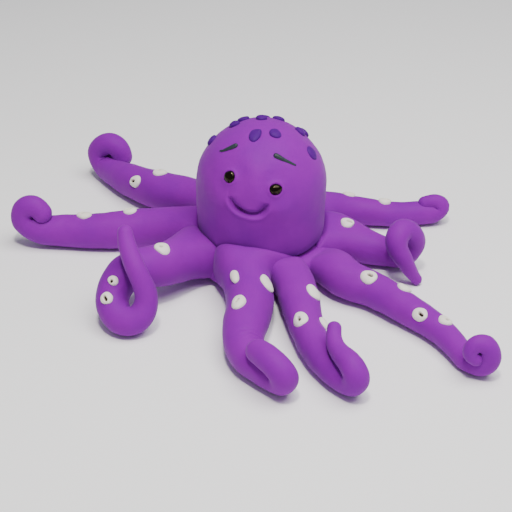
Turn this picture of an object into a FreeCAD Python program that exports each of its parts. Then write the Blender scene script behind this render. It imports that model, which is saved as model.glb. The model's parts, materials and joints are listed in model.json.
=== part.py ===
"""Posable modelling-clay octopus, in millimetres, +Z up.

The origin is the middle of the hub's flat underside, which lies on the table with the
arms. The face looks towards -Y and -X, and the head turns about +Z on the neck peg.
Each arm is one clay coil with a ball-shaped root that sits in a socket of the hub and
lifts about a level axis through the ball's centre.
"""
import FreeCAD, Part
import math
import os

import Sketcher
from FreeCAD import Placement, Rotation, Vector

UP = Vector(0, 0, 1)

SIZES = {
    # head: a dome on a short straight side, turned under at the bottom
    "head_radius": 21.0,
    "dome_height": 29.3,
    "underside_round": 12.0,
    "seat_gap": 0.4,
    # foil core and wooden neck peg
    "core_radius": 11.0,
    "core_height": 31.0,
    "peg_radius": 1.5,
    "peg_bottom": 2.0,
    "peg_length": 24.0,
    "peg_play": 0.08,
    # hub that the arms are set round
    "hub_inset": 1.5,
    "hub_height": 10.6,
    "hinge_outset": 3.0,
    "socket_gap": 1.5,
    # wire armature
    "wire_radius": 0.75,
    "wire_share": 0.62,
    "knot_radius": 4.0,
    "knot_height": 3.0,
    "spoke_height": 7.5,
    # arms: factor on how far every coil reaches from its hinge
    "arm_reach": 1.0,
    # trims
    "eye_radius": 2.0,
    "eye_sink": 0.5,
    "brow_length": 7.2,
    "brow_width": 1.7,
    "spot_radius": 1.9,
    "spot_rise": 0.9,
    "sucker_radius": 2.3,
    "sucker_rise": 1.0,
}

# The arms, from the front round to the right and back. Azimuths are degrees from the
# front (-Y) towards +X. A coil's points are (x, y) from its hinge, the height of its
# centre above the table, and its radius, for hinges on a circle of DRAWN_CIRCLE. A sucker
# is (length along the coil, degrees round it from the top towards the right of its run).
ARMS = {
    "front_arm": {
        "azimuth": -14,
        "coil": [(0, 0, 9.5, 7.4), (0.5, -11.5, 7.5, 7.2), (0.5, -23, 6.5, 6.3), (0, -31, 6, 5.7),
                 (1, -37.5, 5.2, 5), (5, -42.5, 4.6, 4.4), (9, -47, 4.4, 3.9), (12.5, -51, 6, 3.6),
                 (12.5, -53, 9.5, 3.5), (10, -51.5, 12.5, 3.4), (7.5, -48.5, 13.2, 3.3),
                 (5.5, -45.5, 13.2, 3.1)],
        "suckers": [(8, 25), (22, 10), (8, -60)],
    },
    "front_right_arm": {
        "azimuth": 22,
        "coil": [(0, 0, 8, 6.4), (2.5, -13, 6.6, 6.4), (4, -23, 5.6, 5.4), (6, -32, 5, 4.8),
                 (9, -40.5, 4.5, 4.3), (13, -47.5, 4.2, 3.9), (17, -52, 5.5, 3.4),
                 (17.5, -53.5, 9, 3.1), (15, -50, 12, 2.8), (12.5, -44.5, 12.5, 2.4),
                 (11, -38, 13.5, 2.1)],
        "suckers": [(14, -50), (26, 30), (32, -50)],
    },
    "right_front_arm": {
        "azimuth": 62,
        "coil": [(0, 0, 8, 6.8), (5, -10, 7, 6.3), (12, -15, 6, 5.7), (21, -24, 5.5, 5.1),
                 (29, -32.5, 4.6, 4.4), (35, -43, 4, 3.7), (38.5, -50.5, 3.6, 3.4),
                 (42, -54, 5, 3.2), (43, -54.5, 8.5, 3), (41, -54, 11.5, 2.8),
                 (38, -54, 11.5, 2.5), (37, -54.5, 9.5, 2.2)],
        "suckers": [(20, 15), (32, -30), (42, 40), (50, -10)],
    },
    "right_arm": {
        "azimuth": 100,
        "coil": [(0, 0, 8, 6.6), (12, -6, 6.2, 5.7), (19, -8, 5.2, 4.8), (24, -10.5, 6.5, 3.9),
                 (26.5, -11.5, 10.5, 3.3), (25.5, -12.5, 14.5, 3.1), (22.5, -14, 17, 3.1),
                 (20, -16.5, 16.5, 3.1), (19.5, -18.5, 13.5, 3), (22, -19.5, 9.5, 2.7),
                 (24.5, -19.5, 5, 2.2), (26.5, -19.5, 2, 1.6)],
        "suckers": [(6, 0)],
    },
    "rear_right_arm": {
        "azimuth": 138,
        "coil": [(0, 0, 8, 6.6), (16, 6.5, 6, 5.2), (26, 6, 5, 4.6), (35, 6.5, 4.4, 4.2),
                 (41.5, 7.5, 4.4, 4), (46, 7.5, 6, 3.8), (47.5, 7.5, 9, 3.7)],
        "suckers": [(16, -25), (29, -15)],
    },
    "rear_left_arm": {
        "azimuth": -145,
        "coil": [(0, 0, 8.3, 7.3), (-23.5, 17, 7.5, 7.2), (-34.5, 27, 6.5, 6), (-42, 36.5, 5, 4.7),
                 (-47, 42.5, 6.5, 4), (-48.5, 43.5, 10.5, 3.7), (-46.5, 42.5, 14.5, 3.5),
                 (-42.5, 40.5, 15.5, 3.3), (-39.5, 38, 14, 3)],
        "suckers": [(28, 15), (35, -55)],
    },
    "left_arm": {
        "azimuth": -107,
        "coil": [(0, 0, 8, 6.8), (-18.5, 2.5, 7, 6.6), (-33.5, 2, 6.2, 6), (-45.5, 3, 5.8, 5.5),
                 (-53, 3, 6.5, 4.9), (-57.5, 3.5, 9.5, 4), (-58, 3.5, 13.5, 3.2),
                 (-55.5, 3, 16, 2.9), (-52.5, 2.5, 16.5, 2.8), (-50.5, 2, 15.5, 2.7)],
        "suckers": [(21, 5), (37, 5)],
    },
    "left_front_arm": {
        "azimuth": -62,
        "coil": [(0, 0, 9.5, 7.2), (-9.5, -10.5, 12, 6.9), (-16, -15.5, 13.5, 6.2),
                 (-21.5, -19.5, 12.5, 5.6), (-24, -24, 9, 5.2), (-23, -28.5, 6, 4.6),
                 (-19, -32, 4.5, 4), (-15, -32, 6, 3.5), (-13, -30.5, 9.5, 3.3),
                 (-14, -28.5, 15, 3.2), (-17, -25.5, 21.5, 3), (-19, -22, 26, 2.6),
                 (-19.5, -20, 28.5, 2.3)],
        "suckers": [(17, -15), (33, 0), (39, 25)],
    },
}

# Directions on the dome from its centre: (degrees from the front towards +X, degrees up).
EYES = {"eye_left": (-32, 28), "eye_right": (12.5, 20.5)}
BROWS = {"brow_left": ((-60, 44), (-36.5, 55.5)), "brow_right": ((15.5, 49), (38, 38))}
SPOTS = [(-15, 70), (35, 70), (180, 78), (-112, 65), (145, 62), (-138, 60), (102, 53),
         (-102, 40), (70, 37), (115, 42), (175, 54), (-158, 38), (150, 34)]

DRAWN_CIRCLE = 24.0         # radius of the hinge circle that the coils are drawn for
SECTION_STEP = 2.2          # spacing of a coil's sections along it
CAP_ANGLES = (25, 50, 72)   # degrees, the sections that round a coil's two ends off
BEND_LIMIT = 0.92           # most of its bend's radius that a coil's own radius may be

doc = FreeCAD.newDocument("clay_octopus")
sheet = doc.addObject("Spreadsheet::Sheet", "sizes")
for row, (alias, value) in enumerate(SIZES.items(), start=1):
    sheet.set(f"A{row}", alias)
    sheet.set(f"B{row}", str(value))
    sheet.setAlias(f"B{row}", alias)
doc.recompute()

sub_parts = []


def size(alias):
    """The number that the sheet holds under this name."""
    return float(sheet.get(alias))


def add(kind, label, bound=None, place=None):
    """A new document object, with its sizes bound to the sheet and its placement."""
    item = doc.addObject(kind, label)
    item.Label = label
    for name, expression in (bound or {}).items():
        item.setExpression(name, expression)
    if place:
        item.Placement = place
    return item


def cut(label, base, tools):
    """The base with every tool taken out of it, as a sub-part."""
    tool = tools[0]
    if len(tools) > 1:
        tool = add("Part::MultiFuse", label + "_hollows")
        tool.Shapes = tools
    result = add("Part::Cut", label)
    result.Base = base
    result.Tool = tool
    sub_parts.append(result)
    return result


def group(label, members):
    """Identical small pieces, kept as separate solids of one sub-part."""
    result = add("Part::Compound", label)
    result.Links = members
    sub_parts.append(result)
    return result


def direction(azimuth, elevation=0):
    """Unit vector, degrees from the front (-Y) towards +X, then degrees up."""
    turn, rise = math.radians(azimuth), math.radians(elevation)
    return Vector(math.sin(turn) * math.cos(rise), -math.cos(turn) * math.cos(rise), math.sin(rise))


def on_dome(towards, sink=0.0):
    """The point of the dome's surface in this direction, moved in by sink."""
    return UP * size("dome_height") + towards * (size("head_radius") - sink)


# ---------------------------------------------------------------- coils of clay

class Coil:
    """A round coil along a smooth line through its points."""

    def __init__(self, name):
        arm = ARMS[name]
        circle = size("head_radius") + size("hinge_outset")
        girth, reach = circle / DRAWN_CIRCLE, size("arm_reach")
        foot = direction(arm["azimuth"]) * circle
        self.points = [foot + Vector(x * reach, y * reach, z * girth)
                       for x, y, z, _ in arm["coil"]]
        self.hinge = self.points[0]
        self.radii = [radius * girth for _, _, _, radius in arm["coil"]]
        self.knots = [0.0]
        for start, end in zip(self.points, self.points[1:]):
            self.knots.append(self.knots[-1] + (end - start).Length)
        self.line = Part.BSplineCurve()
        self.line.interpolate(Points=self.points, Parameters=self.knots)
        self.length = self.line.length()

    def at(self, along):
        """Point, unit tangent and radius at this length along the coil."""
        where = self.line.parameterAtDistance(along, self.line.FirstParameter)
        where = min(max(where, self.knots[0]), self.knots[-1])
        tangent = self.line.tangent(where)[0]
        radius = self.radii[-1]
        for i, (start, end) in enumerate(zip(self.knots, self.knots[1:])):
            if where <= end:
                share = (where - start) / (end - start)
                radius = self.radii[i] + (self.radii[i + 1] - self.radii[i]) * share
                break
        bend = self.line.curvature(where)
        if bend > 0:
            radius = min(radius, BEND_LIMIT / bend)
        return self.line.value(where), tangent, radius

    def stations(self, start, end):
        """Lengths along the coil, evenly spaced from start to end."""
        count = max(2, round((end - start) / SECTION_STEP))
        return [start + (end - start) * i / count for i in range(count + 1)]

    def solid(self):
        """The coil itself, with a ball for a root and a round tip."""
        sections = [self.at(along) for along in self.stations(0, self.length)]
        root, tip = sections[0], sections[-1]
        ends = []
        for centre, tangent, radius in (root, tip):
            way = -1 if centre is root[0] else 1
            ends.append([(centre + tangent * way * radius * math.sin(math.radians(a)), tangent,
                          radius * math.cos(math.radians(a))) for a in CAP_ANGLES])
        return loft(ends[0][::-1] + sections + ends[1])

    def wire(self, radius):
        """The armature wire, from the back of the root ball along the middle."""
        centre, tangent, root_radius = self.at(0)
        start = [(centre - tangent * root_radius * share, tangent, radius) for share in (0.8, 0.4)]
        run = self.stations(0, self.length * size("wire_share"))
        middle = [self.at(along) for along in run]
        return loft(start + [(point, way, radius) for point, way, _ in middle])

    def seat(self, along, around):
        """Placement on the coil's skin: Z outwards, X along the coil."""
        centre, tangent, radius = self.at(along)
        top = (UP - tangent * UP.dot(tangent)).normalize()
        outwards = Rotation(tangent, around).multVec(top)
        return Placement(centre + outwards * radius, Rotation(tangent, Vector(), outwards, "ZXY"))


def loft(sections):
    """A smooth solid through round sections, each (centre, tangent, radius)."""
    wires = []
    side = sections[0][1].cross(UP)
    for centre, tangent, radius in sections:
        side = (side - tangent * side.dot(tangent)).normalize()
        ring = Part.Wire(Part.Circle(Vector(), UP, radius).toShape())
        ring.Placement = Placement(centre, Rotation(side, Vector(), tangent, "ZXY"))
        wires.append(ring)
    return Part.makeLoft(wires, True, False)


def feature(label, shape):
    """A sub-part whose shape is made by the functions above."""
    item = doc.addObject("Part::Feature", label)
    item.Label = label
    item.Shape = shape
    item.Placement = Placement()
    return item


coils = {name: Coil(name) for name in ARMS}


# ---------------------------------------------------------------- hub, peg and armature

def neck_peg():
    peg = add("Part::Cylinder", "neck_peg",
              {"Radius": "sizes.peg_radius", "Height": "sizes.peg_length",
               "Placement.Base.z": "sizes.peg_bottom"})
    sub_parts.append(peg)
    return peg


def peg_bore():
    """The running bore that the head turns on."""
    return add("Part::Cylinder", "peg_bore",
               {"Radius": "sizes.peg_radius + sizes.peg_play",
                "Height": "sizes.peg_length + sizes.seat_gap",
                "Placement.Base.z": "sizes.peg_bottom"})


def hub_armature(peg):
    """The twisted knot round the peg and one spoke of wire towards each arm."""
    knot = add("Part::Cylinder", "armature_knot",
               {"Radius": "sizes.knot_radius", "Height": "sizes.knot_height",
                "Placement.Base.z": "sizes.spoke_height - sizes.knot_height / 2"})
    pieces = [knot]
    for name, coil in coils.items():
        socket = coil.radii[0] + size("socket_gap")
        length = math.hypot(coil.hinge.x, coil.hinge.y) - socket - 2 * size("seat_gap")
        turn = Rotation(UP, direction(ARMS[name]["azimuth"]))
        spoke = add("Part::Cylinder", name + "_spoke",
                    {"Radius": "sizes.wire_radius", "Placement.Base.z": "sizes.spoke_height"},
                    Placement(UP * size("spoke_height"), turn))
        spoke.Height = length
        pieces.append(spoke)
    bundle = add("Part::MultiFuse", "armature_bundle")
    bundle.Shapes = pieces
    return cut("hub_armature", bundle, [peg])


def hub(peg, armature):
    """The round pad, cut by a socket for each arm, the peg and the armature."""
    pad = add("Part::Cylinder", "hub_pad",
              {"Radius": "sizes.head_radius - sizes.hub_inset", "Height": "sizes.hub_height"})
    sockets = []
    for name, coil in coils.items():
        socket = add("Part::Sphere", name + "_socket", place=Placement(coil.hinge, Rotation()))
        socket.Radius = coil.radii[0] + size("socket_gap")
        sockets.append(socket)
    return cut("hub", pad, sockets + [peg, armature])


# ---------------------------------------------------------------- head and face

def head_form():
    """The solid of revolution that the head is rolled to, as a sketch turned once."""
    body = doc.addObject("PartDesign::Body", "head_form")
    sketch = body.newObject("Sketcher::SketchObject", "head_profile")
    plane = next(f for f in body.Origin.OriginFeatures if f.Role == "XZ_Plane")
    sketch.AttachmentSupport = (plane, "")
    sketch.MapMode = "FlatFace"
    radius, turn_under = size("head_radius"), size("underside_round")
    centre, base = size("dome_height"), size("hub_height") + size("seat_gap")
    inner, shoulder = radius - turn_under, base + turn_under
    sketch.addGeometry(Part.LineSegment(Vector(0, base), Vector(inner, base)))
    sketch.addGeometry(Part.ArcOfCircle(Part.Circle(Vector(inner, shoulder), UP, turn_under),
                                        -math.pi / 2, 0))
    sketch.addGeometry(Part.LineSegment(Vector(radius, shoulder), Vector(radius, centre)))
    sketch.addGeometry(Part.ArcOfCircle(Part.Circle(Vector(0, centre), UP, radius), 0, math.pi / 2))
    sketch.addGeometry(Part.LineSegment(Vector(0, centre + radius), Vector(0, base)))
    constraint = Sketcher.Constraint
    sketch.addConstraint([
        constraint("Tangent", 0, 2, 1, 1), constraint("Tangent", 1, 2, 2, 1),
        constraint("Tangent", 2, 2, 3, 1), constraint("Coincident", 3, 2, 4, 1),
        constraint("Coincident", 4, 2, 0, 1), constraint("Horizontal", 0),
        constraint("Vertical", 2), constraint("PointOnObject", 3, 3, -2),
        constraint("PointOnObject", 0, 1, -2)])
    sketch.addConstraint(constraint("Radius", 3, radius))
    sketch.setExpression("Constraints[9]", "sizes.head_radius")
    sketch.addConstraint(constraint("Radius", 1, turn_under))
    sketch.setExpression("Constraints[10]", "sizes.underside_round")
    sketch.addConstraint(constraint("DistanceY", -1, 1, 3, 3, centre))
    sketch.setExpression("Constraints[11]", "sizes.dome_height")
    sketch.addConstraint(constraint("DistanceY", -1, 1, 0, 1, base))
    sketch.setExpression("Constraints[12]", "sizes.hub_height + sizes.seat_gap")
    turned = body.newObject("PartDesign::Revolution", "head_revolution")
    turned.Profile = sketch
    turned.ReferenceAxis = (sketch, ["V_Axis"])
    turned.Angle = 360
    body.Tip = turned
    return body


def eye(label, aim):
    """A glossy bead pushed half into the face."""
    bead = add("Part::Sphere", label, {"Radius": "sizes.eye_radius"},
               Placement(on_dome(direction(*aim), size("eye_sink")), Rotation()))
    sub_parts.append(bead)
    return bead


def brow(label, ends):
    """A short tapered roll of clay pressed on above an eye."""
    first, last = (on_dome(direction(*aim)) for aim in ends)
    outwards = ((first + last) / 2 - UP * size("dome_height")).normalize()
    roll = add("Part::Ellipsoid", label,
               {"Radius2": "sizes.brow_length / 2", "Radius1": "sizes.brow_width / 2",
                "Radius3": "sizes.brow_width / 2"},
               Placement(on_dome(outwards), Rotation(last - first, Vector(), outwards, "ZXY")))
    sub_parts.append(roll)
    return roll


def flat_ball(label, radius, rise, place):
    """A ball pressed flat, half sunk, with Z of its placement outwards."""
    return add("Part::Ellipsoid", label,
               {"Radius1": f"sizes.{rise}", "Radius2": f"sizes.{radius}",
                "Radius3": f"sizes.{radius}"}, place)


def head_spots():
    spots = []
    for count, aim in enumerate(SPOTS, start=1):
        outwards = direction(*aim)
        place = Placement(on_dome(outwards), Rotation(UP, outwards))
        spots.append(flat_ball(f"spot_{count}", "spot_radius", "spot_rise", place))
    return group("head_spots", spots)


def head(trims):
    """The clay head, hollowed for its foil core and the peg, with seats for the trims."""
    ball = add("Part::Sphere", "core_ball",
               {"Radius": "sizes.core_radius", "Placement.Base.z": "sizes.core_height"})
    bore = peg_bore()
    cut("foil_core", ball, [bore])
    return cut("head", head_form(), [ball, bore] + trims)


# ---------------------------------------------------------------- arms

def arm(name):
    """One arm: its clay coil, the wire inside it and its row of suckers."""
    coil = coils[name]
    wire = feature(name + "_wire", coil.wire(size("wire_radius")))
    sub_parts.append(wire)
    suckers = [flat_ball(f"{name}_sucker_{count}", "sucker_radius", "sucker_rise",
                         coil.seat(along * size("arm_reach"), around))
               for count, (along, around) in enumerate(ARMS[name]["suckers"], start=1)]
    row = group(name + "_suckers", suckers)
    cut(name, feature(name + "_coil", coil.solid()), [wire, row])


centre_peg = neck_peg()
hub(centre_peg, hub_armature(centre_peg))
face = [eye(label, aim) for label, aim in EYES.items()]
face += [brow(label, ends) for label, ends in BROWS.items()]
head(face + [head_spots()])
for arm_name in ARMS:
    arm(arm_name)

doc.recompute()

for item in doc.Objects:
    if "Invalid" in item.State or "Error" in item.State:
        raise RuntimeError(f"{item.Label} failed: {item.State}")
for item in sub_parts:
    if item.Shape.isNull() or not item.Shape.isValid():
        raise RuntimeError(f"{item.Label} has no valid shape")

os.makedirs("parts", exist_ok=True)
for item in sub_parts:
    item.Shape.exportStep(f"parts/{item.Label}.step")
    print(f"{item.Label:24s} {len(item.Shape.Solids):3d} solids {item.Shape.Volume:10.1f} mm3")
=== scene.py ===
"""The clay octopus as it looks: hand-rolled coils, a thumbed smile, pressed-on suckers and spots.

Lengths are in millimetres and are turned to metres where a mesh is made. Directions on the
head are degrees from the front (-Y) towards +X, then degrees up, seen from the dome's centre.
"""

import json
import math

import bpy
import numpy as np
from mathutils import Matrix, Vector

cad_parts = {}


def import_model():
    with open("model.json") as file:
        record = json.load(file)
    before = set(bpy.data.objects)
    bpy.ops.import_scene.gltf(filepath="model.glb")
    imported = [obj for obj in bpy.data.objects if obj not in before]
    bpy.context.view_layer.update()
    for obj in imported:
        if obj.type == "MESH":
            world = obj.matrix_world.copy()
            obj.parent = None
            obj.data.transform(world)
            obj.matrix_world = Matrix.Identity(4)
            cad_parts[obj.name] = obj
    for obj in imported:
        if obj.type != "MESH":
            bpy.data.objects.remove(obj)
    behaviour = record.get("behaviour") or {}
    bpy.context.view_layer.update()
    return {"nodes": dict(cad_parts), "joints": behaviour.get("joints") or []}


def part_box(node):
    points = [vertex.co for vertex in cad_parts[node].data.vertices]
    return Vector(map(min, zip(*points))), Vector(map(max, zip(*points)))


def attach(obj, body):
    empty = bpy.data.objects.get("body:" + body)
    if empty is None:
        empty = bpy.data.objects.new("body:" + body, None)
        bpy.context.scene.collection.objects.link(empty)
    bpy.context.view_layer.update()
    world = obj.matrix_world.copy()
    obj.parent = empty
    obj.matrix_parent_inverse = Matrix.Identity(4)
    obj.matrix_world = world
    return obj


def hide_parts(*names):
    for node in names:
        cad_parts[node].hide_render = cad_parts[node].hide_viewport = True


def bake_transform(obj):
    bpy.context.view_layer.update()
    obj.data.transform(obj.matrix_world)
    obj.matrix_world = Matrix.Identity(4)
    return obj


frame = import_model()

MM = 0.001
UP = np.array([0.0, 0.0, 1.0])
SEGMENTS = 84         # points round a coil
RING_STEP = 0.45     # spacing of the rings along a coil
HEAD_CELLS = 118      # cells along each side of the head's six patches

HINGES = {j["child"]: np.array(j["pos_m"]) / MM for j in frame["joints"]}
HUB_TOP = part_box("hub")[1][2] / MM
HEAD_LOW, HEAD_HIGH = (np.array(corner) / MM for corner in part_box("head"))
HEAD_RADIUS = (HEAD_HIGH[0] - HEAD_LOW[0]) / 2
DOME = np.array([0.0, 0.0, HEAD_HIGH[2] - HEAD_RADIUS])     # the dome's centre
HEAD_SINK = 1.5                             # how far the head is pressed into the pad below it
HEAD_DROP = DOME[2] - HEAD_LOW[2] + HEAD_SINK       # from the dome's centre to the underside
HEAD_SQUARE = 8                             # how square the head is turned under at its foot

ROOT_START = 12.5       # each coil begins this far from the axis, inside the pad,
ROOT_DIP = 1.6          # this much lower than at its hinge,
ROOT_TAPER = 0.88       # and with this share of its radius there
FLARE_START = -3        # the wide part of a root is at its full width up to here along the coil
ROOT_SQUARENESS = 0.45  # how far a root's section is from a round one

# Each arm, with left and right as seen along its run, away from the head:
# coil      its points, as x and y from its hinge, height over the table, radius
# wide      how much wider its root is than the coil, on its left and on its right
# reach     the lengths along it over which that width dies away, left and right
# tall      how much higher and lower than the coil the root's skin is
# sink      how much the root's middle is lowered
# suckers   length along the coil from the hinge, degrees round it from the top to the right,
#           half length, half width, degrees it is turned by, and its poke mark, if any
ARMS = {
    "front_arm": dict(
        coil=[(0.6, 0, 9.3, 7.6), (2.2, -11.5, 7.6, 7.3), (1.2, -23, 6.8, 6.8), (0.4, -31, 6.2, 6.0),
              (1.6, -37.5, 5.5, 5.4), (5.2, -42.5, 5.2, 5.0), (8.8, -46.6, 5.0, 4.6), (11.4, -50.0, 6, 4.2),
              (11.5, -51.6, 8.8, 4.0), (9.2, -50.0, 11.2, 3.9), (6.8, -47.2, 11.8, 3.8),
              (4.8, -44.6, 11.6, 3.5)],
        wide=(7.2, 3.8), reach=(3.6, 3.4), tall=1.6, sink=0,
        suckers=[(8, 36, 2.7, 1.5, 0, None), (22.6, 21, 3.3, 2.2, 0, "slit"),
                 (11, -46, 3.2, 2.3, 25, None)]),
    "front_right_arm": dict(
        coil=[(0, 0, 8, 6.4), (2.5, -13, 6.6, 6.2), (4, -23, 5.6, 5.3), (6, -32, 5, 4.9),
              (9, -40.5, 4.8, 4.7), (12.6, -47.0, 4.6, 4.3), (15.9, -51.4, 5.6, 3.9),
              (16.5, -53.0, 8.8, 3.6), (14.9, -50.6, 11.2, 3.4), (13.0, -47.2, 11.6, 3.0),
              (11.6, -44.2, 11.9, 2.6), (11.0, -41.2, 13.0, 2.2), (11.2, -38.4, 14.4, 2.0)],
        wide=(-0.6, 0.6), reach=(8, 7), tall=-0.2, sink=0.6,
        suckers=[(14.6, -44, 3.1, 2.7, 25, None), (26.8, 30, 3.0, 2.3, 0, "slit"),
                 (28.0, -62, 2.2, 1.9, 0, None)]),
    "right_front_arm": dict(
        coil=[(0, 0, 8, 6.9), (5, -10, 7, 6.4), (12, -15, 6, 5.7), (21, -24, 5.5, 5.1),
              (29, -32.5, 4.6, 4.4), (35, -43, 4, 3.7), (38.5, -50.0, 3.6, 3.6),
              (41.8, -53.2, 5, 3.4), (42.6, -53.8, 8.5, 3.2), (40.8, -53.4, 11.4, 3.0),
              (38, -53.6, 11.2, 2.7), (37.2, -54.2, 9.2, 2.4), (38.6, -54.6, 7.6, 2.1)],
        wide=(-2.0, 2.0), reach=(6, 9), tall=-1.5, sink=3.6,
        suckers=[(20.8, 18, 2.8, 2.5, 0, "slit"), (31.7, -32, 2.5, 2.2, 10, "dot"),
                 (42.5, 41, 2.4, 2.2, 0, "slit"), (49.8, -11, 2.3, 2.0, 0, "dot")]),
    "right_arm": dict(
        coil=[(0, 0, 8, 6.6), (12, -6, 6.2, 5.7), (19, -8, 5.2, 4.8), (23.7, -10.5, 6.5, 4.2),
              (25.8, -11.5, 10.7, 3.8), (24.6, -12.5, 14.6, 3.7), (21.8, -14, 16.9, 3.8),
              (19.8, -16.5, 16.2, 3.8), (19.7, -18.5, 13.3, 3.4), (22, -19.5, 9.3, 2.9),
              (24.5, -19.5, 5, 2.3), (26.5, -19.5, 2.2, 1.8)],
        wide=(1.5, 15.0), reach=(7, 8.5), tall=0.0, sink=0,
        suckers=[(5.2, 5, 2.3, 2.4, 0, "slit")]),
    "rear_right_arm": dict(
        coil=[(0, 0, 8, 6.6), (16, 6.5, 6, 5.2), (26, 6, 5, 4.6), (35, 6.5, 4.4, 4.2),
              (41.5, 7.2, 4.4, 4.1), (45.6, 7.5, 5.2, 3.8), (47.2, 7.5, 7.2, 3.2),
              (45.8, 7.4, 8.7, 2.6), (43.4, 7.3, 8.9, 2.3), (41.6, 7.2, 8.6, 2.0)],
        wide=(3.4, 3.4), reach=(8, 8), tall=0.4, sink=0,
        suckers=[(16.2, -26, 2.4, 2.1, 0, "slit"), (29, -14, 2.3, 2.1, 0, "dot")]),
    "rear_left_arm": dict(
        coil=[(0, 0, 8.3, 7.4), (-23.5, 17, 7.5, 7.1), (-34.5, 27, 6.5, 6), (-42, 36.5, 5.2, 5.1),
              (-46.3, 41.8, 6.8, 4.7), (-47.6, 42.8, 10.4, 4.5), (-45.6, 41.8, 13.7, 4.2),
              (-42.0, 40.2, 14.9, 4.0), (-39.4, 39.2, 12.9, 3.9), (-38.6, 38.8, 10.2, 3.7)],
        wide=(3.4, 3.4), reach=(8, 8), tall=0.4, sink=0,
        suckers=[(28, 6, 2.7, 2.4, 0, "dot"), (34.5, -53, 2.4, 2.2, 0, "slit")]),
    "left_arm": dict(
        coil=[(0, 0, 8, 6.9), (-18.5, 2.5, 7, 6.6), (-33.5, 2, 6.2, 6), (-45.5, 3, 5.8, 5.5),
              (-53, 3, 6.5, 4.9), (-57.3, 3.5, 9.5, 4.3), (-57.6, 3.4, 13.0, 3.7),
              (-55.2, 3, 15.2, 3.5), (-52.6, 2.5, 14.9, 3.4), (-50.8, 2, 13.2, 3.2)],
        wide=(2.4, 2.4), reach=(8, 8), tall=0.2, sink=0,
        suckers=[(21.2, 8, 2.4, 2.1, 0, "slit"), (36.8, 7, 2.6, 2.1, 0, "dot")]),
    "left_front_arm": dict(
        coil=[(0, 0, 9.5, 7.2), (-9.5, -11.0, 12, 7.0), (-16, -15.8, 13.5, 6.3),
              (-21.5, -19.5, 12.5, 5.6), (-24, -24, 9, 5.2), (-23, -28.5, 6.1, 5.0),
              (-19, -31.6, 4.9, 4.7), (-15.4, -31.6, 6.2, 4.3), (-13.4, -30.2, 9.5, 3.8),
              (-14, -28.5, 15, 3.2), (-17, -25.5, 21.5, 3), (-19, -22, 26, 2.6),
              (-19.5, -20, 28.5, 2.3)],
        wide=(2.4, 2.4), reach=(7, 7), tall=0.4, sink=0,
        suckers=[(17.2, -12, 2.5, 2.8, 0, "dot"), (33, -16, 1.5, 1.7, 0, "dot"),
                 (39, 22, 1.9, 2.0, 0, "slit")]),
}

# Fine folds where the front arm bends: length along its coil, degrees round it from the top to
# the left, and depth.
FRONT_FOLDS = [(33.4, 22, 0.48), (35.2, 32, 0.68), (37.0, 40, 0.50)]

EYES = {"eye_left": (-32, 28), "eye_right": (12.5, 20.5)}
EYE_HALF, EYE_HEIGHT = (2.15, 1.95), 1.8
# The directions that each brow passes through, from its thick end, and its radius there.
BROWS = {
    "brow_left": ([(-38.5, 56.5), (-43, 53.5), (-50, 49), (-56, 45.5), (-59.5, 44.8)],
                  (0.78, 0.82, 0.55, 0.40, 0.33)),
    "brow_right": ([(15.5, 50), (20, 47.5), (27, 43.5), (34, 39.3), (38.5, 36.5)],
                   (0.85, 0.88, 0.62, 0.42, 0.30)),
}
SPOTS = [(-16, 70), (36, 70), (180, 78), (-112, 64), (145, 62), (-140, 65), (102, 53),
         (-99, 41), (71, 38), (117, 43), (176, 54), (-158, 38), (150, 34)]
# Crown balls that are plainly taller than wide, by their place in SPOTS: half width, half height.
LONG_SPOTS = {0: (1.85, 2.75), 1: (1.75, 2.2), 8: (1.95, 2.45)}
SPOT_WITH_NUB = 0
# The smile from its left corner to its right one: direction, and how deep it is pressed in.
SMILE = [(-29.5, 12, 0.2), (-27.5, 7.5, 1.7), (-23.5, 2.3, 2.7), (-17.5, -0.8, 2.5), (-12, -2.0, 2.1),
         (-6.5, -2.4, 2.1), (-1.6, -1.7, 2.4), (2.2, 1.5, 2.4), (4.6, 6.2, 1.3), (5.6, 9, 0.1)]
# Soft swells of the face, two cheeks and a chin: direction, height and width.
SWELLS = [(-36, 6, 0.45, 4.5), (15, 1, 0.45, 4.5), (-10, -14, 0.30, 5.0)]


# ---------------------------------------------------------------- small tools

def direction(azimuth, elevation):
    """The unit vector that points this way from the dome's centre."""
    turn, rise = math.radians(azimuth), math.radians(elevation)
    level = math.cos(rise)
    return np.array([math.sin(turn) * level, -math.cos(turn) * level, math.sin(rise)])


def unit(vectors):
    return vectors / np.linalg.norm(vectors, axis=-1, keepdims=True)


def lumps(points, scale, seed):
    """Soft random unevenness between about -1 and 1, with features of about this many mm."""
    rng = np.random.default_rng(seed)
    total = np.zeros(len(points))
    for _ in range(14):
        wave = unit(rng.normal(size=3)) * 2 * math.pi / (scale * rng.uniform(1.2, 3.0))
        total += np.sin(points @ wave + rng.uniform(0, 2 * math.pi))
    return total / 4.5


def smoothstep(x):
    """Eases from 0 to 1 as x does."""
    x = np.clip(x, 0, 1)
    return x * x * (3 - 2 * x)


def bell(x, middle, width):
    """1 where x is at the middle, dying away over this width."""
    return np.exp(-((x - middle) / width) ** 2)


def lengths_along(points):
    """How far along a line of points each of them is."""
    return np.concatenate([[0], np.cumsum(np.linalg.norm(np.diff(points, axis=0), axis=1))])


def name_seed(name):
    """A seed for random shapes that is always the same for one name."""
    return sum(map(ord, name))


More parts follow.
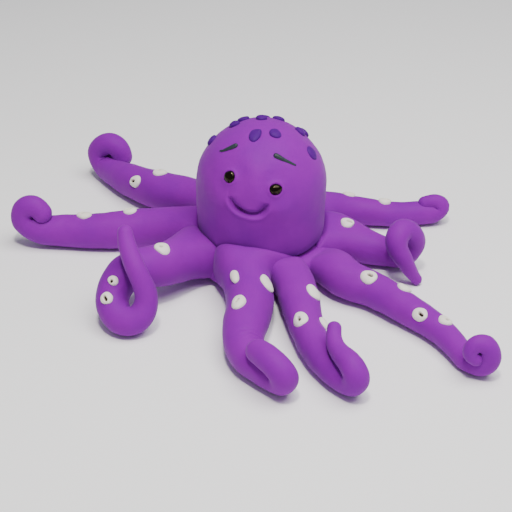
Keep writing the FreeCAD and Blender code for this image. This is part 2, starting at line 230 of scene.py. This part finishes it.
def natural_spline(knots, values, where):
    """Values of the natural cubic spline through these knots."""
    n = len(knots)
    steps = np.diff(knots)
    system = np.zeros((n, n))
    right = np.zeros((n, values.shape[1]))
    system[0, 0] = system[-1, -1] = 1
    for i in range(1, n - 1):
        system[i, i - 1:i + 2] = steps[i - 1], 2 * (steps[i - 1] + steps[i]), steps[i]
        right[i] = 6 * ((values[i + 1] - values[i]) / steps[i] - (values[i] - values[i - 1]) / steps[i - 1])
    bend = np.linalg.solve(system, right)
    i = np.clip(np.searchsorted(knots, where, side="right") - 1, 0, n - 2)
    h, a, b = steps[i][:, None], (knots[i + 1] - where)[:, None], (where - knots[i])[:, None]
    curved = (bend[i] * a ** 3 + bend[i + 1] * b ** 3) / (6 * h)
    return curved + (values[i] / h - bend[i] * h / 6) * a + (values[i + 1] / h - bend[i + 1] * h / 6) * b


def make_mesh(name, points, faces, material):
    """A smooth-shaded mesh from points in mm and a list of faces."""
    mesh = bpy.data.meshes.new(name)
    mesh.from_pydata((points * MM).tolist(), [], faces)
    mesh.update()
    mesh.polygons.foreach_set("use_smooth", [True] * len(mesh.polygons))
    mesh.materials.append(material)
    piece = bpy.data.objects.new(name, mesh)
    bpy.context.scene.collection.objects.link(piece)
    return piece


def grid_faces(rings, around):
    """Quads between rings of points, closed by a fan at each end's extra pole point."""
    faces = []
    for i in range(rings - 1):
        a, b = i * around, (i + 1) * around
        for j in range(around):
            k = (j + 1) % around
            faces.append((a + j, a + k, b + k, b + j))
    south, north, last = rings * around, rings * around + 1, (rings - 1) * around
    for j in range(around):
        k = (j + 1) % around
        faces.append((south, k, j))
        faces.append((north, last + j, last + k))
    return faces


# ---------------------------------------------------------------- materials

def new_material(name):
    """A material, its node tree, its shader and the coordinates that its textures use."""
    material = bpy.data.materials.new(name)
    material.use_nodes = True
    tree = material.node_tree
    shader = next(n for n in tree.nodes if n.type == "BSDF_PRINCIPLED")
    coordinates = tree.nodes.new("ShaderNodeTexCoord")
    return material, tree, shader, coordinates.outputs["Object"]


def noise(tree, vector, scale, detail=3.0, roughness=0.5):
    node = tree.nodes.new("ShaderNodeTexNoise")
    node.inputs["Scale"].default_value = scale
    node.inputs["Detail"].default_value = detail
    node.inputs["Roughness"].default_value = roughness
    tree.links.new(vector, node.inputs["Vector"])
    return node.outputs["Fac"]


def ramp(tree, value, stops):
    """A value turned to colour by (place, colour) stops."""
    node = tree.nodes.new("ShaderNodeValToRGB")
    while len(node.color_ramp.elements) < len(stops):
        node.color_ramp.elements.new(0.5)
    for element, (place, colour) in zip(node.color_ramp.elements, stops):
        element.position = place
        element.color = (*colour, 1)
    tree.links.new(value, node.inputs["Fac"])
    return node.outputs["Color"]


def bump(tree, shader, layers):
    """Fine relief, as (height, strength, distance in mm) layers one on another."""
    normal = None
    for height, strength, distance in layers:
        node = tree.nodes.new("ShaderNodeBump")
        node.inputs["Strength"].default_value = strength
        node.inputs["Distance"].default_value = distance * MM
        tree.links.new(height, node.inputs["Height"])
        if normal:
            tree.links.new(normal, node.inputs["Normal"])
        normal = node.outputs["Normal"]
    tree.links.new(normal, shader.inputs["Normal"])


def clay_material(name, deep, middle, pale, roughness=0.56, sheen=0.08, gloss=0.08, painted_hole_shade=None):
    """Kneaded clay: slow and fine mottling of its colour, and a faint finger-worn grain.

    Painted shade darkens the holes of the poke marks, where a piece carries them as its "poke" attribute.
    """
    material, tree, shader, vector = new_material(name)
    mottle = noise(tree, vector, 55, 4, 0.55)
    colour = ramp(tree, mottle, [(0.3, deep), (0.52, middle), (0.75, pale)])
    # painted shade: the poke holes get a dark brown in their colour, standing in for the shade inside them
    if painted_hole_shade:
        mark = tree.nodes.new("ShaderNodeAttribute")
        mark.attribute_name = "poke"
        mix = tree.nodes.new("ShaderNodeMixRGB")
        mix.inputs["Color2"].default_value = (*painted_hole_shade, 1)
        tree.links.new(mark.outputs["Fac"], mix.inputs["Fac"])
        tree.links.new(colour, mix.inputs["Color1"])
        colour = mix.outputs["Color"]
    tree.links.new(colour, shader.inputs["Base Color"])
    worn = noise(tree, vector, 160, 3)
    smooth, rough = (roughness - 0.07,) * 3, (roughness + 0.09,) * 3
    tree.links.new(ramp(tree, worn, [(0.25, smooth), (0.75, rough)]), shader.inputs["Roughness"])
    shader.inputs["Subsurface Weight"].default_value = 0.06
    shader.inputs["Subsurface Radius"].default_value = (1.0, 0.35, 1.1)
    shader.inputs["Subsurface Scale"].default_value = 0.0012
    shader.inputs["Sheen Weight"].default_value = sheen
    shader.inputs["Sheen Roughness"].default_value = 0.45
    shader.inputs["Sheen Tint"].default_value = (0.86, 0.78, 0.95, 1)
    shader.inputs["Specular IOR Level"].default_value = gloss
    bump(tree, shader, [(noise(tree, vector, 260, 4, 0.6), 0.25, 0.25),
                        (noise(tree, vector, 1300, 3, 0.6), 0.18, 0.06)])
    return material


def bead_material():
    """Black glazed bead, its glaze a little uneven and warm where it shines."""
    material, tree, shader, vector = new_material("black_bead")
    dark, warm = (0.001, 0.001, 0.001), (0.004, 0.003, 0.002)
    tone = ramp(tree, noise(tree, vector, 500), [(0.35, dark), (0.7, warm)])
    tree.links.new(tone, shader.inputs["Base Color"])
    shader.inputs["Roughness"].default_value = 0.14
    shader.inputs["Specular IOR Level"].default_value = 0.3
    shader.inputs["Specular Tint"].default_value = (1.0, 0.82, 0.5, 1)
    bump(tree, shader, [(noise(tree, vector, 420, 2), 0.5, 0.12)])
    return material


def wire_material():
    """Drawn steel wire with fine lengthways streaks."""
    material, tree, shader, vector = new_material("armature_wire")
    tone = ramp(tree, noise(tree, vector, 900), [(0.3, (0.30, 0.29, 0.28)), (0.7, (0.52, 0.51, 0.49))])
    tree.links.new(tone, shader.inputs["Base Color"])
    shader.inputs["Metallic"].default_value = 1.0
    shader.inputs["Roughness"].default_value = 0.35
    bump(tree, shader, [(noise(tree, vector, 2500, 2), 0.2, 0.02)])
    return material


def foil_material():
    """Crumpled kitchen foil."""
    material, tree, shader, vector = new_material("crumpled_foil")
    tone = ramp(tree, noise(tree, vector, 300), [(0.3, (0.55, 0.55, 0.56)), (0.7, (0.82, 0.82, 0.83))])
    tree.links.new(tone, shader.inputs["Base Color"])
    shader.inputs["Metallic"].default_value = 1.0
    shader.inputs["Roughness"].default_value = 0.28
    creases = tree.nodes.new("ShaderNodeTexVoronoi")
    creases.inputs["Scale"].default_value = 320
    tree.links.new(vector, creases.inputs["Vector"])
    bump(tree, shader, [(creases.outputs["Distance"], 0.8, 0.6)])
    return material


def wood_material():
    """Pale wooden pick, with its grain running up it."""
    material, tree, shader, vector = new_material("pick_wood")
    stretch = tree.nodes.new("ShaderNodeMapping")
    stretch.inputs["Scale"].default_value = (1, 1, 0.08)
    tree.links.new(vector, stretch.inputs["Vector"])
    grain = noise(tree, stretch.outputs["Vector"], 1500, 4)
    tone = ramp(tree, grain, [(0.3, (0.52, 0.36, 0.19)), (0.7, (0.72, 0.55, 0.34))])
    tree.links.new(tone, shader.inputs["Base Color"])
    shader.inputs["Roughness"].default_value = 0.6
    bump(tree, shader, [(grain, 0.3, 0.04)])
    return material


PURPLE = clay_material("purple_clay", (0.200, 0.001, 0.335), (0.230, 0.001, 0.352), (0.255, 0.003, 0.372))
VIOLET = clay_material("violet_clay", (0.065, 0.001, 0.175), (0.078, 0.001, 0.195), (0.095, 0.003, 0.215),
                       roughness=0.52, sheen=0.04, gloss=0.1)
# ivory clay for the suckers, with painted shade in its poke holes
IVORY = clay_material("ivory_clay", (0.80, 0.76, 0.66), (0.87, 0.83, 0.75), (0.92, 0.89, 0.83),
                      roughness=0.48, sheen=0.05, gloss=0.3, painted_hole_shade=(0.09, 0.055, 0.035))
SLATE = clay_material("slate_clay", (0.014, 0.022, 0.030), (0.022, 0.036, 0.042), (0.040, 0.060, 0.064),
                      roughness=0.42, sheen=0.05, gloss=0.3)
BEAD, WIRE, FOIL, WOOD = bead_material(), wire_material(), foil_material(), wood_material()


# ---------------------------------------------------------------- the head

def foot_height(radial):
    """Height of the head's underside at this distance from the axis."""
    share = np.clip(radial / HEAD_RADIUS, 0, 1)
    return DOME[2] - HEAD_DROP * (1 - share ** HEAD_SQUARE) ** (1 / HEAD_SQUARE)


def head_surface(ways):
    """Points of the smooth head in these unit directions from the dome's centre."""
    level = np.hypot(ways[:, 0], ways[:, 1])
    low = ((level / HEAD_RADIUS) ** HEAD_SQUARE
           + (np.abs(ways[:, 2]) / HEAD_DROP) ** HEAD_SQUARE) ** (-1 / HEAD_SQUARE)
    return DOME + ways * np.where(ways[:, 2] < 0, low, HEAD_RADIUS)[:, None]


def face_map(points):
    """Millimetres across and up the face, as if its skin were unrolled."""
    away = points - DOME
    azimuth = np.arctan2(away[:, 0], -away[:, 1])
    elevation = np.arctan2(away[:, 2], np.hypot(away[:, 0], away[:, 1]))
    return np.stack([azimuth * HEAD_RADIUS * np.cos(elevation), elevation * HEAD_RADIUS], -1)


def smile_relief(flat):
    """How far the skin moves out at these places of the face for the smile and its lips."""
    samples = 260
    corners = np.array([head_surface(direction(a, e)[None])[0] for a, e, _ in SMILE])
    line = face_map(corners)
    knots = lengths_along(line)
    where = np.linspace(0, knots[-1], samples)
    line = natural_spline(knots, line, where)
    depth = np.interp(where, knots, [d for _, _, d in SMILE])
    run = unit(np.gradient(line, axis=0))
    gap = flat[:, None, :] - line[None]
    nearest = np.argmin((gap ** 2).sum(-1), axis=1)
    gap = gap[np.arange(len(flat)), nearest]
    run, depth, share = run[nearest], depth[nearest], nearest / (samples - 1)
    above = run[:, 0] * gap[:, 1] - run[:, 1] * gap[:, 0]
    distance = np.linalg.norm(gap, axis=1)
    side = np.where(above >= 0, 1.0, -1.0)
    slope = np.where(side > 0, 1.45, 0.42)      # gentle above the line and steep below it
    pressed = -depth * np.exp(-(distance / slope) ** 1.5)
    upper_lip = 0.38 * bell(share, 0.52, 0.16) * bell(distance, 1.9, 0.9) * (side > 0)
    fade = smoothstep(share / 0.12) * smoothstep((1 - share) / 0.12)
    lower_lip = 0.22 * fade * bell(distance, 1.1, 0.7) * (side < 0)
    return pressed + upper_lip + lower_lip


def face_relief(face):
    """How far the skin moves out at these places of the face."""
    relief = smile_relief(face)
    ridge = bell(face[:, 0], -2.6, 2.6)
    relief += 0.30 * ridge * smoothstep((face[:, 1] - 3) / 6) * smoothstep((20 - face[:, 1]) / 8)
    for azimuth, elevation, height, width in SWELLS:
        middle = face_map(head_surface(direction(azimuth, elevation)[None]))[0]
        relief += height * bell(np.linalg.norm(face - middle, axis=1), 0, width)
    return relief


def distance_from(aim, skin):
    """Distances of these points from where a direction meets the smooth head."""
    return np.linalg.norm(skin - head_surface(direction(*aim)[None]), axis=1)


def pressed_in(skin):
    """How far the skin moves out round the eyes and crown balls that are pressed into it."""
    out = np.zeros(len(skin))
    for aim in EYES.values():
        distance = distance_from(aim, skin)
        out += 0.26 * bell(distance, 2.15, 0.55) - 0.5 * np.exp(-(distance / 1.6) ** 4)
        out -= 0.12 * bell(distance, 4.4, 1.6)
    for aim in SPOTS:
        distance = distance_from(aim, skin)
        out -= 0.16 * bell(distance, 1.95, 0.45)
    return out


def ball_of_patches(cells):
    """Directions and quads of a ball made of six square patches, joined at their edges."""
    spread = np.tan(np.linspace(-math.pi / 4, math.pi / 4, cells + 1))
    u, v = np.meshgrid(spread, spread, indexing="ij")
    one = np.ones_like(u)
    patches = [(one, u, v), (-one, -u, v), (-u, one, v), (u, -one, v), (u, v, one), (u, -v, -one)]
    ways = unit(np.concatenate([np.stack(p, -1).reshape(-1, 3) for p in patches]))
    keys, index = np.unique(np.round(ways, 7), axis=0, return_inverse=True)
    index = index.reshape(-1)
    faces = []
    row = cells + 1
    for patch in range(len(patches)):
        base = patch * row * row
        for i in range(cells):
            for j in range(cells):
                a = base + i * row + j
                faces.append(tuple(int(index[n]) for n in (a, a + row, a + row + 1, a + 1)))
    return unit(keys), faces


def head():
    """The dome, with its smile, its swells and the dents of what is pressed on it."""
    ways, faces = ball_of_patches(HEAD_CELLS)
    skin = head_surface(ways)
    out = 0.20 * lumps(skin, 11, 3) + 0.07 * lumps(skin, 4.5, 4) + 0.022 * lumps(skin, 1.6, 5)
    front = (ways[:, 1] < -0.1) & (np.abs(ways[:, 2]) < 0.95)
    out[front] += face_relief(face_map(skin)[front])
    out += pressed_in(skin)
    piece = make_mesh("head_clay", skin + ways * out[:, None], faces, PURPLE)
    turn_faces_out(piece)
    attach(piece, "head")
    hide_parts("head")


def turn_faces_out(piece):
    """Turns the faces of a closed, roughly round piece outwards."""
    mesh = piece.data
    count = len(mesh.polygons)
    centres, normals = np.zeros(count * 3), np.zeros(count * 3)
    mesh.polygons.foreach_get("center", centres)
    mesh.polygons.foreach_get("normal", normals)
    centres, normals = centres.reshape(-1, 3), normals.reshape(-1, 3)
    if ((centres - centres.mean(0)) * normals).sum() < 0:
        mesh.flip_normals()


# ---------------------------------------------------------------- small pressed-on pieces

def poke_mark(x, y, kind, rng):
    """How deep a tool's poke is at these places of a sucker, and how much painted shade darkens its hole.
    """
    px, py = rng.uniform(-0.25, 0.25, 2) + (0.5, 0)
    swing = rng.uniform(-0.4, 0.4)
    dx = (x - px) * math.cos(swing) + (y - py) * math.sin(swing)
    dy = -(x - px) * math.sin(swing) + (y - py) * math.cos(swing)
    half_slit = 0.5 if kind == "slit" else 0.08
    hole_radius, hole_depth = 0.42, 1.7
    dish_radius, dish_depth = 1.1, 0.12
    from_slit = np.maximum(np.abs(dx) - half_slit, 0) ** 2 + dy ** 2
    hole = np.exp(-from_slit ** 1.5 / hole_radius ** 3)
    dish = np.exp(-(x ** 2 + y ** 2) / dish_radius ** 2)
    return hole_depth * hole + dish_depth * dish, smoothstep((hole - 0.3) / 0.4)


def pressed_ball(name, centre, outwards, along, half, height, seed, material,
                 poke=None, bend=0.0, nub=None):
    """A ball of clay pressed flat, a little uneven.

    It rises outwards from its centre, and half gives its half sizes along it and across. It can
    have a poke mark, bend down at its sides, and swell at a nub, given as x, y and size.
    """
    rng = np.random.default_rng(seed)
    under = 2.0     # how deep it goes below what it is pressed on
    rings, around = ((44, 64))
    tilt = math.pi * np.linspace(0, 1, rings + 2)[1:-1] ** 1.25
    turn = np.arange(around) * 2 * math.pi / around
    theta, phi = (a.ravel() for a in np.meshgrid(tilt, turn, indexing="ij"))
    theta, phi = np.append(theta, [0, math.pi]), np.append(phi, [0, 0])
    edge = 1.0
    for waves, size in ((2, 0.035), (3, 0.03), (5, 0.015)):
        edge = edge + size * np.cos(waves * phi + rng.uniform(0, 6))
    x = half[0] * np.sin(theta) * np.cos(phi) * edge
    y = half[1] * np.sin(theta) * np.sin(phi) * edge
    rise = np.sign(np.cos(theta)) * np.abs(np.cos(theta)) ** 0.8
    z = np.where(rise > 0, height * rise, under * rise)
    z += 0.05 * height * lumps(np.stack([x, y, z], -1) + rng.uniform(0, 90, 3), 1.4, seed)
    if nub:
        push = np.exp(-((x - nub[0]) ** 2 + (y - nub[1]) ** 2) / nub[2] ** 2)
        x = x + 0.3 * push
        z += np.where(rise > 0, 0.45 * push, 0)
    mark = np.zeros(len(x))
    # the hole's share of painted shade is kept as the piece's "poke" attribute
    if poke:
        depth, dark = poke_mark(x, y, poke, rng)
        z -= np.where(rise > 0, depth, 0)
        mark = np.where(rise > 0, dark, 0)
    z -= bend * y ** 2
    across = np.cross(outwards, along)
    points = centre + x[:, None] * along + y[:, None] * across + z[:, None] * outwards
    faces = grid_faces(rings, around)
    piece = make_mesh(name, points, faces, material)
    piece.data.attributes.new("poke", "FLOAT", "POINT").data.foreach_set("value", mark)
    turn_faces_out(piece)
    return piece


def join(name, pieces):
    """Several loose pieces as one object."""
    for item in bpy.context.selected_objects:
        item.select_set(False)
    for item in pieces:
        item.select_set(True)
    bpy.context.view_layer.objects.active = pieces[0]
    bpy.ops.object.join()
    pieces[0].name = name
    pieces[0].data.name = name
    return pieces[0]


def spots():
    """The flattened balls on the crown."""
    made = []
    for count, aim in enumerate(SPOTS):
        rng = np.random.default_rng(100 + count)
        outwards = direction(*aim)
        along = unit(np.cross(UP, outwards))
        half = tuple(rng.uniform(1.75, 2.15, 2))
        half = LONG_SPOTS.get(count, half)
        nub = (1.0, 1.75, 0.6) if count == SPOT_WITH_NUB else None
        made.append(pressed_ball(f"spot_{count + 1}", DOME + outwards * HEAD_RADIUS, outwards, along,
                                 half, rng.uniform(0.85, 1.0), 200 + count, VIOLET,
                                 bend=0.5 / HEAD_RADIUS, nub=nub))
    piece = join("crown_spots", made)
    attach(piece, "head")
    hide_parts("head_spots")


def eyes():
    """The two bead eyes, a little sunk in the clay."""
    sunk = 0.25
    for label, aim in EYES.items():
        outwards = direction(*aim)
        along = unit(np.cross(UP, outwards))
        low, high = (np.array(corner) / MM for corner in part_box(label))
        piece = pressed_ball(label + "_bead", (low + high) / 2 - outwards * sunk, outwards, along,
                             EYE_HALF, EYE_HEIGHT, name_seed(label), BEAD)
        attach(piece, "head")
        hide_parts(label)


def brow(label, spine, radii):
    """A tapering roll laid on the dome through these directions, thick end first."""
    rings, around = 60, 24
    lift, flatness = 0.12, 0.85
    way = np.array([direction(*aim) for aim in spine])
    knots = lengths_along(way)
    where = np.linspace(0, knots[-1], rings)
    way = unit(natural_spline(knots, way, where))
    radius = np.interp(where, knots, radii)
    ends = np.minimum(where, where[-1] - where) * HEAD_RADIUS
    radius = radius * np.sqrt(np.clip(1 - (1 - np.clip(ends / radius, 0, 1)) ** 2, 0.02, 1))
    run = unit(np.gradient(way, axis=0))
    across = np.cross(way, run)
    turn = np.arange(around) * 2 * math.pi / around
    rows = [DOME + way[i] * (HEAD_RADIUS + lift + radius[i] * flatness * np.sin(turn))[:, None]
            + across[i] * (radius[i] * np.cos(turn))[:, None] for i in range(rings)]
    points = np.concatenate(rows + [[DOME + way[0] * HEAD_RADIUS], [DOME + way[-1] * HEAD_RADIUS]])
    points += unit(points - DOME) * (0.05 * lumps(points, 1.5, 31))[:, None]
    piece = make_mesh(label + "_roll", points, grid_faces(rings, around), SLATE)
    turn_faces_out(piece)
    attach(piece, "head")
    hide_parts(label)


# ---------------------------------------------------------------- arms

class Coil:
    """One arm's line, its frames and its cross-sections."""

    def __init__(self, name):
        self.name, self.shape = name, ARMS[name]
        foot = np.array([HINGES[name][0], HINGES[name][1], 0.0])
        points = np.array([foot + (x, y, z) for x, y, z, _ in self.shape["coil"]])
        radii = np.array([r for *_, r in self.shape["coil"]])
        self.out = unit(foot)
        inner = self.out * ROOT_START + UP * (points[0, 2] - ROOT_DIP)
        self.lay(np.vstack([inner, points]), np.append(radii[0] * ROOT_TAPER, radii))
        self.turn_frames()
        self.shape_root()

    def lay(self, points, radii):
        """Evenly spaced points along the coil, and its radius at each, smoothed a little."""
        knots = lengths_along(points)
        fine = np.linspace(0, knots[-1], 4000)
        line = natural_spline(knots, points, fine)
        length = lengths_along(line)
        start = np.interp(knots[1], fine, length)
        count = int(length[-1] / RING_STEP)
        self.along = np.linspace(0, length[-1], count)
        chord = np.interp(self.along, length, fine)
        self.centre = natural_spline(knots, points, chord)
        radius = np.interp(chord, knots, radii)
        smoothing = 2.5
        width = int(smoothing / RING_STEP) * 2 + 1
        kernel = np.hanning(width + 2)[1:-1]
        padded = np.pad(radius, width // 2, mode="edge")
        self.radius = np.convolve(padded, kernel / kernel.sum(), mode="valid")
        self.along -= start

    def turn_frames(self):
        """The coil's run, bend, side and top at each point, its side turning as little as can be."""
        self.tangent = unit(np.gradient(self.centre, self.along, axis=0))
        turn = np.gradient(self.tangent, self.along, axis=0)
        self.bend = np.linalg.norm(turn, axis=1)
        self.inside = turn / np.maximum(self.bend, 1e-9)[:, None]
        side = np.cross(self.tangent[0], UP)
        self.side = []
        for tangent in self.tangent:
            side = unit(side - tangent * (side @ tangent))
            self.side.append(side)
        self.side = np.array(self.side)
        self.top = np.cross(self.side, self.tangent)

    def shape_root(self):
        """Half widths and half height of the coil, with its root pressed wide."""
        past = np.maximum(self.along - FLARE_START, 0)
        left, right = (np.exp(-(past / reach) ** 2) for reach in self.shape["reach"])
        self.flare = (left + right) / 2
        self.left = self.radius + self.shape["wide"][0] * left
        self.right = self.radius + self.shape["wide"][1] * right
        self.tall = self.radius + self.shape["tall"] * self.flare
        self.centre[:, 2] -= self.shape["sink"] * self.flare

    def offset(self, i, angle):
        """From the line's points i to the skin, at these angles from the side towards the top."""
        square = 1 / (1 + ROOT_SQUARENESS * self.flare[i])
        wide = np.where(np.cos(angle) > 0, self.right[i], self.left[i])
        across = wide * np.sign(np.cos(angle)) * np.abs(np.cos(angle)) ** square
        rise = self.tall[i] * np.sign(np.sin(angle)) * np.abs(np.sin(angle)) ** square
        out = self.side[i] * across[:, None] + self.top[i] * rise[:, None]
        # A wide root wraps round the head.
        least_ring = 14.0
        ring = np.maximum(self.centre[i] @ self.out, least_ring)
        wrap = ring - np.sqrt(np.maximum(ring ** 2 - across ** 2, (0.35 * ring) ** 2))
        out = out - self.out * (wrap * self.flare[i])[:, None]
        # Inside a tight bend the skin is eased, so that it doesn't cross itself.
        inward = (out * self.inside[i]).sum(1)
        room = 0.9 / np.maximum(self.bend[i], 1e-6)
        free, soft = 0.6 * room, 0.4 * room
        over = np.maximum(inward - free, 0)
        eased = np.where(over > 0, soft * np.tanh(over / soft) - over, 0)
        return out + self.inside[i] * eased[:, None]

    def seat(self, along, around):
        """Skin point, outward and lengthways directions and radius, where something is pressed on."""
        i = int(np.argmin(np.abs(self.along - along)))
        tangent = self.tangent[i]
        up = unit(UP - tangent * (UP @ tangent))
        right = np.cross(tangent, up)
        turn = math.radians(around)
        towards = up * math.cos(turn) + right * math.sin(turn)
        wide = self.right[i] if towards @ self.side[i] > 0 else self.left[i]
        angle = math.atan2(towards @ self.top[i] / self.tall[i], towards @ self.side[i] / wide)
        skin = self.offset(np.array([i]), np.array([angle]))[0]
        outwards = unit(self.side[i] * (math.cos(angle) / wide)
                        + self.top[i] * (math.sin(angle) / self.tall[i]))
        along_skin = unit(tangent - outwards * (tangent @ outwards))
        return self.centre[i] + skin, outwards, along_skin, self.radius[i]


def settle(points):
    """Clay lying on the table spreads flat on it, and is pressed against the head's foot."""
    soft = 0.35             # how gradually it flattens
    table_gap = 0.02
    points[:, 2] = soft * np.logaddexp(0, (points[:, 2] - 0.05) / soft) + table_gap
    radial = np.hypot(points[:, 0], points[:, 1])
    groove_depth, groove_width = 1.4, 0.55      # the seam where it meets the head
    groove = groove_depth * np.exp(-np.maximum(radial - HEAD_RADIUS + 0.1, 0) / groove_width)
    near_top = smoothstep((points[:, 2] - 9) / 4)
    points[:, 2] -= groove * near_top * (radial > HEAD_RADIUS - 3)
    wall = HEAD_RADIUS - 1.3        # inside this it stays below the head's turned-under edge
    under = radial < wall
    ceiling = foot_height(radial[under] * HEAD_RADIUS / wall) - 0.15
    points[under, 2] = np.minimum(points[under, 2], ceiling)
    return points


def wrinkles(coil, i, angle):
    """How far the skin moves out, which is inwards, for the front arm's fine folds."""
    depth = np.zeros(len(i))
    if coil.name != "front_arm":
        return depth
    for where, middle, deep in FRONT_FOLDS:
        aside = np.degrees(angle) - 90 - middle
        bow = where + 0.9 * (aside / 60) ** 2
        reach = np.exp(-(aside / 42) ** 4)
        depth -= deep * reach * bell(coil.along[i], bow, 0.38)
    return depth


def arm(name):
    """One coil of clay, with a rounded tip, and its suckers."""
    coil = Coil(name)
    seed = name_seed(name)
    rings = len(coil.along)
    turn = np.arange(SEGMENTS) * 2 * math.pi / SEGMENTS
    i, angle = (a.ravel() for a in np.meshgrid(np.arange(rings), turn, indexing="ij"))
    offset = coil.offset(i, angle)
    body = coil.centre[i] + offset
    tip = coil.tangent[-1] * coil.radius[-1]
    caps = [offset[-SEGMENTS:] * math.cos(tilt) + tip * math.sin(tilt)
            for tilt in np.radians([12, 24, 36, 48, 60, 71, 81])]
    points = np.vstack([body] + [coil.centre[-1] + cap for cap in caps])
    away = unit(np.vstack([offset] + caps))
    out = 0.17 * lumps(points, 9, seed)
    out += 0.075 * lumps(points, 3.6, seed + 1)
    out += 0.02 * lumps(points, 1.5, seed + 2)
    out[:len(i)] += wrinkles(coil, i, angle)
    for along, around, long, wide, _, poke in coil.shape["suckers"]:
        seat = coil.seat(along, around)[0]
        distance = np.linalg.norm(points - seat, axis=1)
        out -= 0.14 * bell(distance, 2.4, 0.5)
        if poke:    # a dent under the sucker, so that its hole doesn't meet the arm
            out -= 2.2 * np.exp(-(distance / (0.75 * min(long, wide))) ** 4)
    points = points + away * out[:, None]
    poles = np.array([coil.centre[0], coil.centre[-1] + tip])
    points = settle(np.vstack([points, poles]))
    faces = grid_faces(rings + len(caps), SEGMENTS)
    piece = make_mesh(name + "_clay", points, faces, PURPLE)
    if normals_point_in(piece, coil):
        piece.data.flip_normals()
    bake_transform(piece)
    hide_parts(name)
    suckers(coil, seed)


def normals_point_in(piece, coil):
    """True when a face of a ring near the root looks towards the coil's line."""
    ring = 30
    polygon = piece.data.polygons[SEGMENTS * ring]
    centre = np.array(polygon.center) / MM
    nearest = coil.centre[np.argmin(np.linalg.norm(coil.centre - centre, axis=1))]
    return (centre - nearest) @ np.array(polygon.normal) < 0


def suckers(coil, seed):
    """The suckers of one arm, each bent to the curve of the arm under it."""
    height, sunk = 1.15, 0.12
    made = []
    for count, (along, around, long, wide, swing, poke) in enumerate(coil.shape["suckers"], start=1):
        skin, outwards, run, radius = coil.seat(along, around)
        across = np.cross(outwards, run)
        turn = math.radians(swing)
        way = run * math.cos(turn) + across * math.sin(turn)
        made.append(pressed_ball(f"{coil.name}_sucker_{count}", skin - outwards * sunk, outwards, way,
                                 (long, wide), height, seed * 7 + count, IVORY,
                                 poke=poke, bend=0.45 / radius))
    piece = join(coil.name + "_sucker_row", made)
    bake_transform(piece)
    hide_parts(coil.name + "_suckers")


# ---------------------------------------------------------------- the hub

def hub():
    """The kneaded pad that the roots are pressed on to, thinner under the head."""
    rings, around = 70, 120
    tilt = np.linspace(-math.pi / 2, math.pi / 2, rings + 2)[1:-1]
    turn = np.arange(around) * 2 * math.pi / around
    theta, phi = (a.ravel() for a in np.meshgrid(tilt, turn, indexing="ij"))
    theta, phi = np.append(theta, [-math.pi / 2, math.pi / 2]), np.append(phi, [0, 0])
    height = HUB_TOP + 1.6
    wide = HEAD_RADIUS + 2.6
    square = 4      # how square its edge is, 2 being round
    level, rise = np.cos(theta), np.sin(theta)
    reach = ((level / wide) ** square + (np.abs(rise) / (height / 2)) ** square) ** (-1 / square)
    middle = np.array([0, 0, height / 2])
    away = np.stack([np.sin(phi) * level, -np.cos(phi) * level, rise], -1)
    points = middle + away * reach[:, None]
    out = 0.25 * lumps(points, 9, 51) + 0.08 * lumps(points, 3, 52)
    points += unit(points - middle) * out[:, None]
    points = settle(points)
    piece = make_mesh("hub_clay", points, grid_faces(rings, around), PURPLE)
    turn_faces_out(piece)
    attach(piece, "hub")
    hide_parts("hub")


# ---------------------------------------------------------------- build

head()
spots()
eyes()
for brow_name, (brow_spine, brow_radii) in BROWS.items():
    brow(brow_name, brow_spine, brow_radii)
hub()
for arm_name in ARMS:
    arm(arm_name)

# The hidden pieces stay the frame's own nodes, with new materials.
INNER = {"foil_core": (FOIL, "foil"), "neck_peg": (WOOD, "peg_wood"), "hub_armature": (WIRE, "wire")}
INNER.update({name + "_wire": (WIRE, "wire") for name in ARMS})
for node, (material, slot) in INNER.items():
    frame["nodes"][node].data.materials.clear()
    frame["nodes"][node].data.materials.append(material)


# ---------------------------------------------------------------- stage, light and camera

def floor():
    """A pale matt table top."""
    bpy.ops.mesh.primitive_plane_add(size=8)
    plane = bpy.context.object
    plane.name = "floor"
    material, tree, shader, vector = new_material("pale_floor")
    tone = ramp(tree, noise(tree, vector, 3), [(0.3, (0.95, 0.95, 0.95)), (0.7, (0.97, 0.97, 0.97))])
    tree.links.new(tone, shader.inputs["Base Color"])
    shader.inputs["Roughness"].default_value = 0.9
    shader.inputs["Specular IOR Level"].default_value = 0.1
    plane.data.materials.append(material)


def area_light(name, place, target, wide, power, colour):
    """A round soft light; its places and width are in metres."""
    data = bpy.data.lights.new(name, "AREA")
    data.shape = "DISK"
    data.size = wide
    data.energy = power
    data.color = colour
    light = bpy.data.objects.new(name, data)
    bpy.context.scene.collection.objects.link(light)
    light.location = place
    light.rotation_euler = aim_at(place, target)


def aim_at(place, target):
    """The rotation that points a light or camera at place to the target."""
    return (Vector(target) - Vector(place)).to_track_quat("-Z", "Y").to_euler()


def world():
    """A dim, slightly blue light from all round."""
    scene = bpy.context.scene
    scene.world = bpy.data.worlds.new("studio")
    scene.world.use_nodes = True
    background = next(n for n in scene.world.node_tree.nodes if n.type == "BACKGROUND")
    background.inputs["Color"].default_value = (0.88, 0.90, 1.0, 1)
    background.inputs["Strength"].default_value = 0.28


def camera():
    """The photo's viewpoint: a long lens in front of the figure, looking down at it."""
    looking_down, distance = 31, 358
    target = np.array([-1.7, 0.0, 1.6])
    data = bpy.data.cameras.new("camera")
    data.lens = 75
    data.sensor_width = 36
    data.clip_start = 0.01
    view = bpy.data.objects.new("camera", data)
    bpy.context.scene.collection.objects.link(view)
    place = (target + direction(0, looking_down) * distance) * MM
    view.location = place
    view.rotation_euler = aim_at(tuple(place), tuple(target * MM))
    bpy.context.scene.camera = view


floor()
world()
area_light("softbox", place=(0.16, -0.12, 0.60), target=(0, 0, 0.02), wide=0.55, power=4.4,
           colour=(1.0, 0.99, 0.98))
area_light("key", place=(-0.02, -0.24, 0.58), target=(0, 0, 0.02), wide=0.08, power=2.2,
           colour=(1.0, 0.96, 0.90))
camera()
